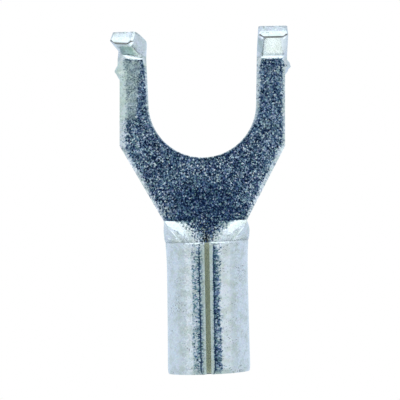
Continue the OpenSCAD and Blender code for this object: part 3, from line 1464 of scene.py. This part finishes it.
    def _liveliness(self, x: Tone, y: Tone, z: Tone) -> Tone:
        """How strongly the grains lean: most on the tongue, less where the sheet was worked.

        Args:
            x: X in the blank.
            y: Y in the blank.
            z: Height in the sheet.

        Returns:
            The share of the full lean.
        """
        aside = abs(x)
        low = y.between(*self.low_y) * aside.between(*self.low_x) * (1 - self.low_lean)
        plain = 1 - low - (1 - self.tine_lean) * self._spread(x, y)
        neck = y.between(*self.neck_y) * aside.between(*self.neck_x) * (1 - self.neck_lean)
        neck = neck * z.between(*self.above_neck)
        flange = y.between(*self.bend_y) * self.flange_calm
        barrel = y.between(*self.barrel_y) * z.between(*self.below) * (1 - self.barrel_lean)
        return plain * (1 - neck) * (1 - barrel) * (1 - flange)


def finished_piece(
    name: str, formed: Points, faces: list[list[int]], flat: Points, marks: Points
) -> bpy.types.Object:
    """Makes a piece of the terminal.

    Args:
        name: Name of the piece.
        formed: Its points, in millimetres.
        faces: Numbers of the points round each face.
        flat: Places of the points for the finish, in millimetres.
        marks: How far each point is sheared, how far it is rolled, and 0.

    Returns:
        The piece, with its faces outwards, in place of the plain solid.
    """
    mesh = bpy.data.meshes.new(name)
    mesh.from_pydata((formed * MM).tolist(), [], faces)
    for label, values in (("flat", flat), ("marks", marks)):
        layer = mesh.attributes.new(label, "FLOAT_VECTOR", "POINT")
        layer.data.foreach_set("vector", np.asarray(values, np.float32).ravel())
    work = bmesh.new()
    work.from_mesh(mesh)
    bmesh.ops.recalc_face_normals(work, faces=work.faces)
    work.to_mesh(mesh)
    work.free()
    mesh.shade_smooth()
    mesh.set_sharp_from_angle(angle=SHARP_FROM)
    piece = bpy.data.objects.new(name, mesh)
    bpy.context.scene.collection.objects.link(piece)
    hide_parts("terminal")
    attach(piece, "root")
    return piece


@dataclass
class SeamFoot:
    """The foot of the seam, where the two sides of the sheet are butted together.

    Its sides are sunk into the two faces of the seam, and its middle sags. Lengths are in
    millimetres.
    """

    name: str = "seam_foot"
    finish: TinPlate = TinPlate()
    blank: Blank = Blank()
    sag: float = 0.01
    sunk: float = 0.05
    from_front: float = 0.02
    from_bore: float = 0.01
    rows: int = 60
    columns: int = 8

    def build(self) -> bpy.types.Object:
        """Makes the strip between the two faces of the seam.

        Returns:
            The piece.
        """
        s, forming = self.blank.sizes, Forming(self.blank)
        share = np.linspace(0, 1, self.columns + 1)[:, None]
        rings = []
        for y in -np.linspace(s.barrel_back + self.from_front, s.rear_back, self.rows):
            ends = []
            for z in (s.foot_z, s.sheet_t - self.from_bore):
                foot = [
                    [float(self.blank.seam_x(side, y, z)) - side.value * self.sunk, y, z]
                    for side in Side
                ]
                ends.append(forming.form(np.array(foot)))
            top, low = ([a + (b - a) * share for a, b in ends])
            top[:, 2] -= (self.sag * 4 * share * (1 - share))[:, 0]
            rings.append(np.concatenate([top, low[::-1]]))
        count = len(rings[0])
        last = (len(rings) - 1) * count
        faces = [list(range(count)), list(range(last, last + count))]
        for start in range(0, last, count):
            for j in range(count):
                a, b = start + j, start + (j + 1) % count
                faces.append([a, b, b + count, a + count])
        points = np.concatenate(rings)
        marks = np.tile([1.0, 0.0, 0.0], (len(points), 1))
        return finished_piece(self.name, points, faces, points, marks)

    def dress(self, piece: bpy.types.Object) -> None:
        """Gives the strip its finish."""
        piece.data.materials.append(self.finish.material())


@dataclass
class Terminal:
    """The whole terminal, one folded piece."""

    name: str = "terminal_sheet"
    finish: TinPlate = TinPlate()
    blank: Blank = Blank()

    def build(self) -> bpy.types.Object:
        """Meshes the blank and forms it.

        Returns:
            The piece.
        """
        weld = SheetMesh(self.blank).build()
        flat = np.array(weld.points)
        formed = Forming(self.blank).form(flat)
        return finished_piece(self.name, formed, weld.faces, flat, np.array(weld.marks))

    def dress(self, piece: bpy.types.Object) -> None:
        """Gives the piece its finish."""
        piece.data.materials.append(self.finish.material())


@dataclass
class Studio:
    """Pale floor and soft light: dark overhead, bright at the sides.

    The floor's sizes are in metres. The sky is a colour for each angle from the zenith, in degrees,
    and its hues vary within the given angle. It gains light towards both ends of Y.
    """

    floor_w: float = 0.6
    floor_z: float = -0.00002
    floor_colour: Colour = (0.86, 0.87, 0.88, 1)
    floor_seen: Colour = (0.78, 0.91, 1.05, 1)
    end_gain: tuple = (1.12, 1.06, 0.98)
    end_zone: tuple = (0.5, 0.9)
    hue_scale: float = 9.0
    hue_gain: float = 2.0
    hue_share: float = 0.9
    hue_within: tuple = (40, 25)
    sky_strength: float = 1.2
    sky: tuple = (
        (0, (0.0, 0.002, 0.014)),
        (8, (0.001, 0.007, 0.034)),
        (14, (0.006, 0.021, 0.072)),
        (19, (0.032, 0.077, 0.16)),
        (24, (0.09, 0.168, 0.262)),
        (30, (0.245, 0.362, 0.45)),
        (36, (0.545, 0.67, 0.74)),
        (42, (0.72, 0.81, 0.89)),
        (50, (0.79, 0.88, 0.95)),
        (64, (0.63, 0.73, 0.8)),
        (80, (0.59, 0.69, 0.76)),
        (180, (0.58, 0.68, 0.76)),
    )

    def build(self) -> None:
        """Makes the floor and the world."""
        self._floor()
        self._world()

    def _floor(self) -> None:
        """A pale floor, white to the camera."""
        half = self.floor_w / 2
        low = self.floor_z
        mesh = bpy.data.meshes.new("floor")
        corners = [(-half, -half, low), (half, -half, low), (half, half, low), (-half, half, low)]
        mesh.from_pydata(corners, [], [(0, 1, 2, 3)])
        floor = bpy.data.objects.new("floor", mesh)
        bpy.context.scene.collection.objects.link(floor)
        made = bpy.data.materials.new("floor")
        made.use_nodes = True
        g = Graph(made.node_tree)
        path = g.node("ShaderNodeLightPath")
        camera, glossy = (Tone(g, path.outputs[f"Is {ray} Ray"]) for ray in ("Camera", "Glossy"))
        pale = g.node("ShaderNodeBsdfDiffuse", {}, {"Color": self.floor_colour})
        shown = g.mix(self.floor_seen, WHITE, camera)
        white = g.node("ShaderNodeEmission", {}, {"Color": shown, "Strength": 1.0})
        shaders = {0: camera + glossy, 1: pale.outputs[0], 2: white.outputs[0]}
        both = g.node("ShaderNodeMixShader", {}, shaders)
        g.node("ShaderNodeOutputMaterial", {}, {"Surface": both.outputs[0]})
        mesh.materials.append(made)

    def _world(self) -> None:
        """A sky whose colour depends on the height above the horizon."""
        world = bpy.data.worlds.new("studio")
        bpy.context.scene.world = world
        world.use_nodes = True
        g = Graph(world.node_tree)
        direction = g.tone("ShaderNodeTexCoord", "Generated")
        _, y, z = g.split(direction)
        from_zenith = z.arccos() / math.pi
        ramp = g.node("ShaderNodeValToRGB", {}, {"Fac": from_zenith})
        stops = ramp.color_ramp.elements
        while len(stops) < len(self.sky):
            stops.new(0.5)
        for stop, (degrees, colour) in zip(stops, self.sky):
            stop.position = degrees / 180
            stop.color = (*colour, 1)
        values = {"Vector": direction, "Scale": self.hue_scale, "Detail": 2.0}
        hues = g.tone("ShaderNodeTexNoise", "Color", {}, values)
        near_zenith = from_zenith.between(*(angle / 180 for angle in self.hue_within))
        share = near_zenith * self.hue_share
        varied = g.mix(ramp.outputs["Color"], hues * self.hue_gain, share, "MULTIPLY")
        plain = (self.sky_strength,) * 3
        bright = tuple(self.sky_strength + gain for gain in self.end_gain)
        gain = g.mix((*plain, 1), (*bright, 1), abs(y).between(*self.end_zone))
        camera = g.tone("ShaderNodeLightPath", "Is Camera Ray")
        shown = g.mix(varied * gain, WHITE, camera)
        back = g.node("ShaderNodeBackground", {}, {"Color": shown, "Strength": 1.0})
        g.node("ShaderNodeOutputWorld", {}, {"Surface": back.outputs[0]})


@dataclass
class Viewpoint:
    """The camera, straight above the part.

    The centre, the height, the width seen and the distance are in millimetres, the turn is in
    degrees.
    """

    centre: tuple = (-0.19, -4.6)
    height: float = 119.8
    width: float = 19.08
    distance: float = 119.0
    turn: float = -1.0

    def build(self) -> bpy.types.Object:
        """Places the camera and makes it the scene's own.

        Returns:
            The camera.
        """
        lens = bpy.data.cameras.new("camera")
        lens.sensor_width = 36
        lens.lens = lens.sensor_width * self.distance / self.width
        lens.clip_start = 0.001
        lens.clip_end = 10
        camera = bpy.data.objects.new("camera", lens)
        camera.location = (self.centre[0] * MM, self.centre[1] * MM, self.height * MM)
        camera.rotation_euler = (0, 0, math.radians(self.turn))
        bpy.context.scene.collection.objects.link(camera)
        bpy.context.scene.camera = camera
        return camera


def main() -> None:
    """Builds the part, the studio and the camera."""
    logging.basicConfig(level=logging.INFO, format="%(message)s")
    terminal = Terminal()
    piece = terminal.build()
    terminal.dress(piece)
    LOG.info("%s: %d faces", piece.name, len(piece.data.polygons))
    foot = SeamFoot()
    strip = foot.build()
    foot.dress(strip)
    LOG.info("%s: %d faces", strip.name, len(strip.data.polygons))
    Studio().build()
    Viewpoint().build()
    bpy.context.scene.view_settings.view_transform = "Standard"


if __name__ == "__main__":
    main()
